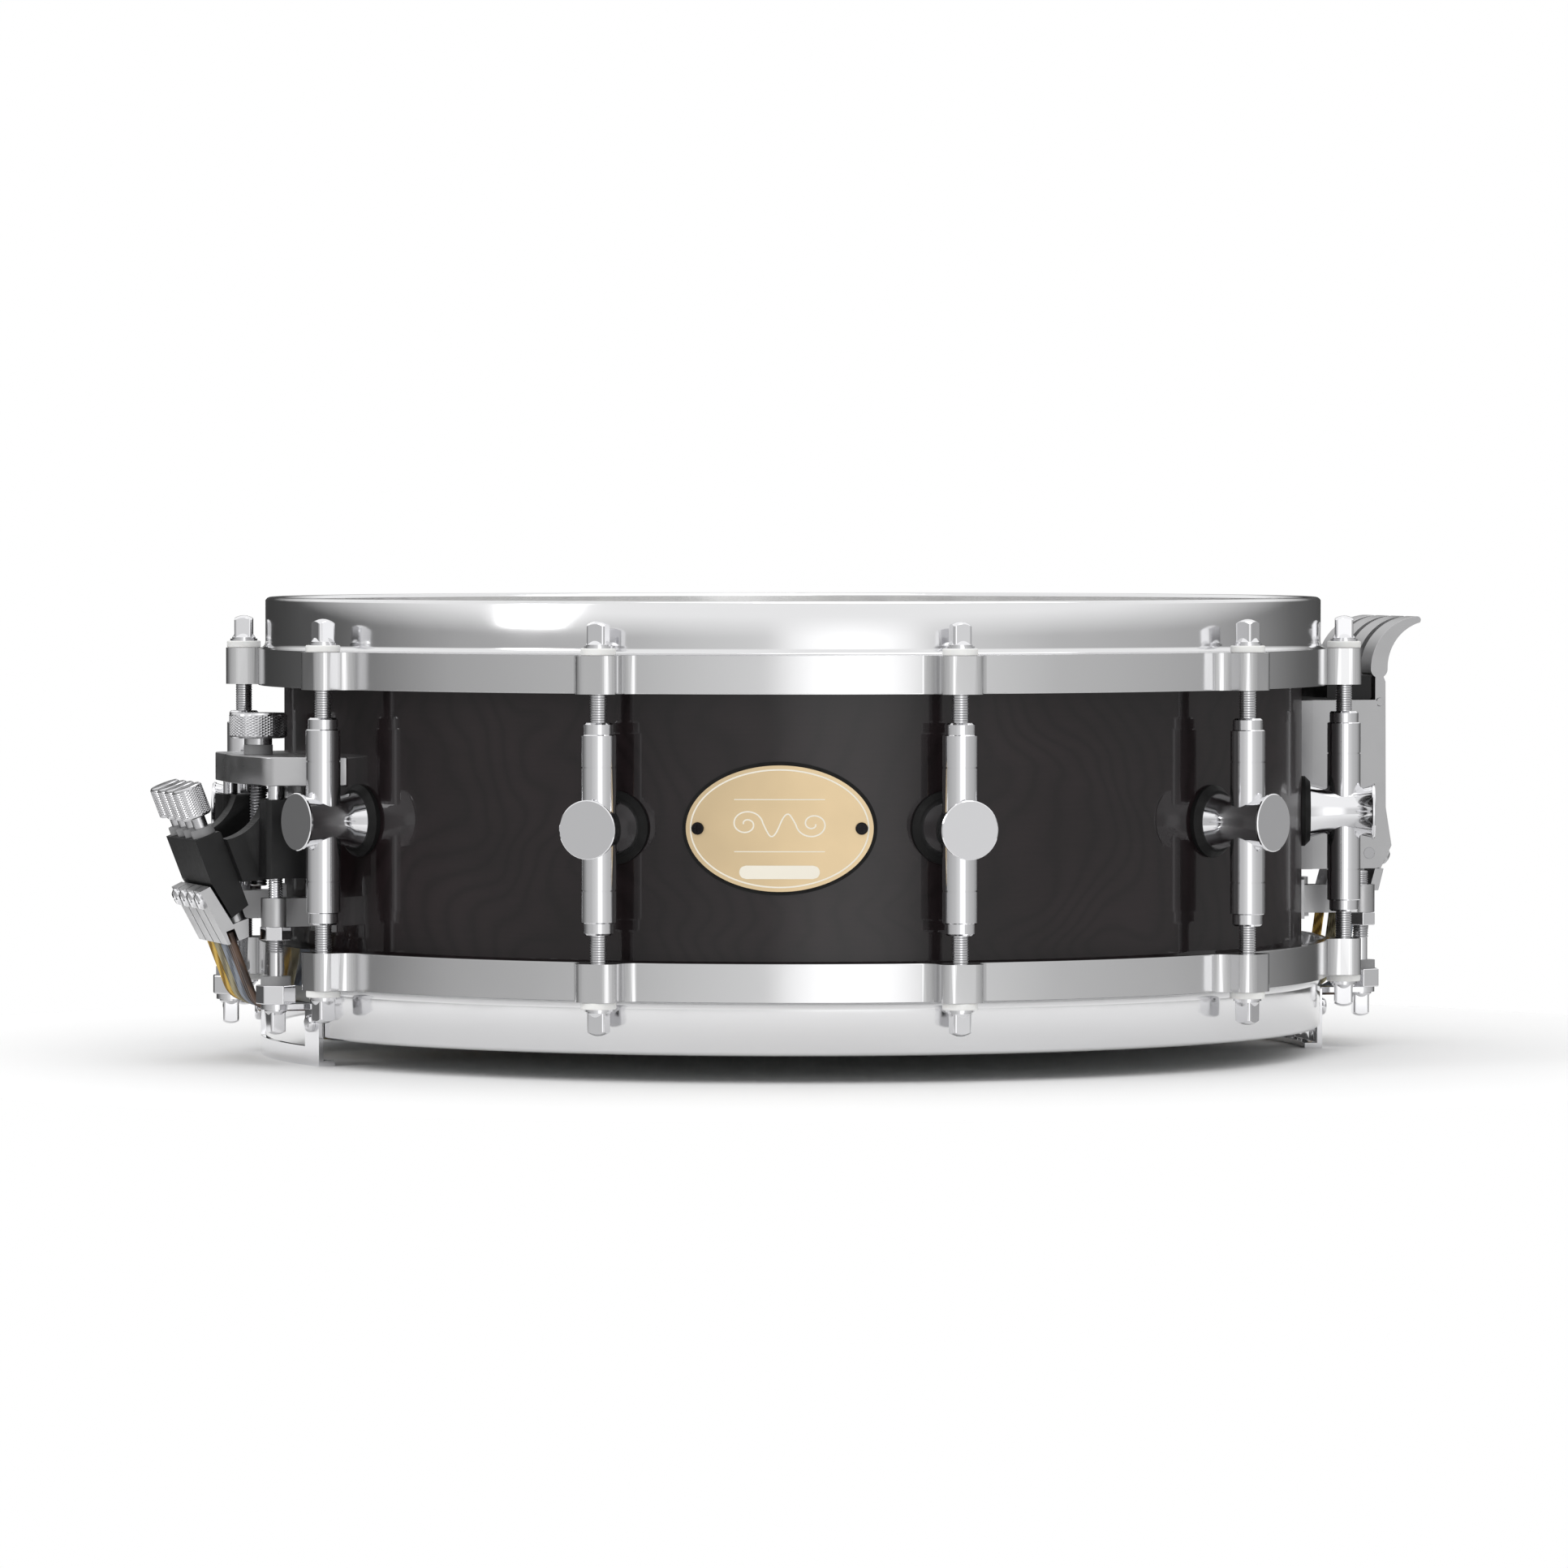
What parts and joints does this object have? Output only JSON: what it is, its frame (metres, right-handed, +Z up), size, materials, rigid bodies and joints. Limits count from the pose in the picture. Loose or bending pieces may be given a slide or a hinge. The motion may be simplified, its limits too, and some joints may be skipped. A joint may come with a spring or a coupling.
{
  "type": "snare drum",
  "caption": "Concert snare drum: dark stained maple shell, chrome hoops and tube lugs, cable snares on a fine-tuning adjuster and a multi-lever throw-off.",
  "frame": {"origin": "on the drum's axis, level with the underside of the two gate guards that the drum stands on", "axes": "+Z up through the batter head; -Y towards the badge; +X towards the throw-off side, with the adjuster at -72 degrees and the throw-off at 108 degrees from the badge"},
  "size_m": [0.4425, 0.3932, 0.159],
  "materials": {
    "stained_maple": "dark espresso stained figured maple under high-gloss clear lacquer",
    "chrome": "polished chrome plate",
    "knurled_chrome": "diamond-knurled chrome plate",
    "zinc_steel": "bright zinc plated steel",
    "coated_film": "white coated polyester film",
    "clear_film": "thin hazy polyester film",
    "aluminium": "plain aluminium",
    "white_nylon": "white nylon",
    "grey_nylon": "grey nylon",
    "black_rubber": "black rubber",
    "champagne_gold": "champagne gold plate with fine white lines",
    "black_steel": "black oxide steel",
    "satin_nickel": "satin nickel plate",
    "black_anodised": "black anodised aluminium",
    "gold_wire": "gold coloured wrapped wire",
    "beige_cable": "beige coated cable",
    "grey_cable": "blue-grey coated cable",
    "gut_cable": "dark brown gut-style cable"
  },
  "bodies": {
    "root": {"shell": "stained_maple", "top_hoop": "chrome", "bottom_hoop": "chrome", "batter_head": "coated_film", "batter_flesh_hoop": "aluminium", "snare_head": "clear_film", "snare_flesh_hoop": "aluminium", "lug_posts": "chrome", "lug_tubes": "chrome", "lug_gaskets": "black_rubber", "lug_screws": "zinc_steel", "swivel_nuts": "chrome", "tension_rods": "chrome", "rod_steel_washers": "chrome", "rod_nylon_washers": "white_nylon", "badge_plate": "champagne_gold", "badge_gasket": "black_rubber", "badge_screws": "black_steel", "gate_guards": "chrome", "guard_screws": "chrome", "tie_bolts": "chrome", "tie_spacers": "chrome", "nylon_spacers": "grey_nylon", "tie_nuts": "chrome", "tie_arms": "satin_nickel", "adjuster_bracket": "satin_nickel", "guide_posts": "chrome", "bracket_screws": "zinc_steel", "throwoff_housing": "satin_nickel", "throwoff_insert": "black_anodised", "lever_axle": "zinc_steel", "snare_set_1": "gold_wire", "snare_set_2": "beige_cable", "snare_set_3": "grey_cable", "snare_set_4": "gut_cable"},
    "master": {"master_knob": "knurled_chrome", "lead_screw": "zinc_steel"},
    "carriage": {"carriage": "black_anodised", "head_block": "black_anodised", "fine_knob_washers": "grey_nylon"},
    "fine_knob_1": {"fine_knob_1": "knurled_chrome"},
    "cable_clamp_1": {"cable_clamp_1": "satin_nickel", "clamp_screw_1": "chrome"},
    "throw_lever_1": {"throw_lever_1": "satin_nickel", "lever_clamp_1": "satin_nickel"},
    "fine_knob_2": {"fine_knob_2": "knurled_chrome"},
    "cable_clamp_2": {"cable_clamp_2": "satin_nickel", "clamp_screw_2": "chrome"},
    "throw_lever_2": {"throw_lever_2": "satin_nickel", "lever_clamp_2": "satin_nickel"},
    "fine_knob_3": {"fine_knob_3": "knurled_chrome"},
    "cable_clamp_3": {"cable_clamp_3": "satin_nickel", "clamp_screw_3": "chrome"},
    "throw_lever_3": {"throw_lever_3": "satin_nickel", "lever_clamp_3": "satin_nickel"},
    "fine_knob_4": {"fine_knob_4": "knurled_chrome"},
    "cable_clamp_4": {"cable_clamp_4": "satin_nickel", "clamp_screw_4": "chrome"},
    "throw_lever_4": {"throw_lever_4": "satin_nickel", "lever_clamp_4": "satin_nickel"}
  },
  "joints": [
    {"name": "master_knob_spin", "type": "hinge", "parent": "root", "child": "master", "pos_m": [-0.1826, -0.05933, 0.115], "axis": [0, 0, 1], "range_deg": [-1440, 2160]},
    {"name": "carriage_slide", "type": "slide", "parent": "root", "child": "carriage", "axis": [0, 0, 1], "range_m": [-0.006, 0.004]},
    {"name": "fine_knob_1_spin", "type": "hinge", "parent": "carriage", "child": "fine_knob_1", "pos_m": [-0.20985, -0.04989, 0.07815], "axis": [-0.3408, -0.1107, 0.9336], "range_deg": [-720, 720]},
    {"name": "clamp_1_slide", "type": "slide", "parent": "carriage", "child": "cable_clamp_1", "axis": [-0.3408, -0.1107, 0.9336], "range_m": [-0.0014, 0.0014]},
    {"name": "fine_knob_2_spin", "type": "hinge", "parent": "carriage", "child": "fine_knob_2", "pos_m": [-0.20627, -0.06092, 0.07815], "axis": [-0.3408, -0.1107, 0.9336], "range_deg": [-720, 720]},
    {"name": "clamp_2_slide", "type": "slide", "parent": "carriage", "child": "cable_clamp_2", "axis": [-0.3408, -0.1107, 0.9336], "range_m": [-0.0014, 0.0014]},
    {"name": "fine_knob_3_spin", "type": "hinge", "parent": "carriage", "child": "fine_knob_3", "pos_m": [-0.20269, -0.07196, 0.07815], "axis": [-0.3408, -0.1107, 0.9336], "range_deg": [-720, 720]},
    {"name": "clamp_3_slide", "type": "slide", "parent": "carriage", "child": "cable_clamp_3", "axis": [-0.3408, -0.1107, 0.9336], "range_m": [-0.0014, 0.0014]},
    {"name": "fine_knob_4_spin", "type": "hinge", "parent": "carriage", "child": "fine_knob_4", "pos_m": [-0.1991, -0.08299, 0.07815], "axis": [-0.3408, -0.1107, 0.9336], "range_deg": [-720, 720]},
    {"name": "clamp_4_slide", "type": "slide", "parent": "carriage", "child": "cable_clamp_4", "axis": [-0.3408, -0.1107, 0.9336], "range_m": [-0.0014, 0.0014]},
    {"name": "throw_lever_1_swing", "type": "hinge", "parent": "root", "child": "throw_lever_1", "pos_m": [0.18659, 0.08428, 0.068], "axis": [-0.309, 0.9511, 0], "range_deg": [0, 50], "deforming": ["snare_set_1"]},
    {"name": "throw_lever_2_swing", "type": "hinge", "parent": "root", "child": "throw_lever_2", "pos_m": [0.19122, 0.07002, 0.068], "axis": [-0.309, 0.9511, 0], "range_deg": [0, 50], "deforming": ["snare_set_2"]},
    {"name": "throw_lever_3_swing", "type": "hinge", "parent": "root", "child": "throw_lever_3", "pos_m": [0.19586, 0.05575, 0.068], "axis": [-0.309, 0.9511, 0], "range_deg": [0, 50], "deforming": ["snare_set_3"]},
    {"name": "throw_lever_4_swing", "type": "hinge", "parent": "root", "child": "throw_lever_4", "pos_m": [0.20049, 0.04149, 0.068], "axis": [-0.309, 0.9511, 0], "range_deg": [0, 50], "deforming": ["snare_set_4"]}
  ],
  "couplings": [
    {"joint": "master_knob_spin", "follows": "carriage_slide", "rad_per_m": -6283.2},
    {"joint": "fine_knob_1_spin", "follows": "clamp_1_slide", "rad_per_m": -8976},
    {"joint": "fine_knob_2_spin", "follows": "clamp_2_slide", "rad_per_m": -8976},
    {"joint": "fine_knob_3_spin", "follows": "clamp_3_slide", "rad_per_m": -8976},
    {"joint": "fine_knob_4_spin", "follows": "clamp_4_slide", "rad_per_m": -8976}
  ]
}
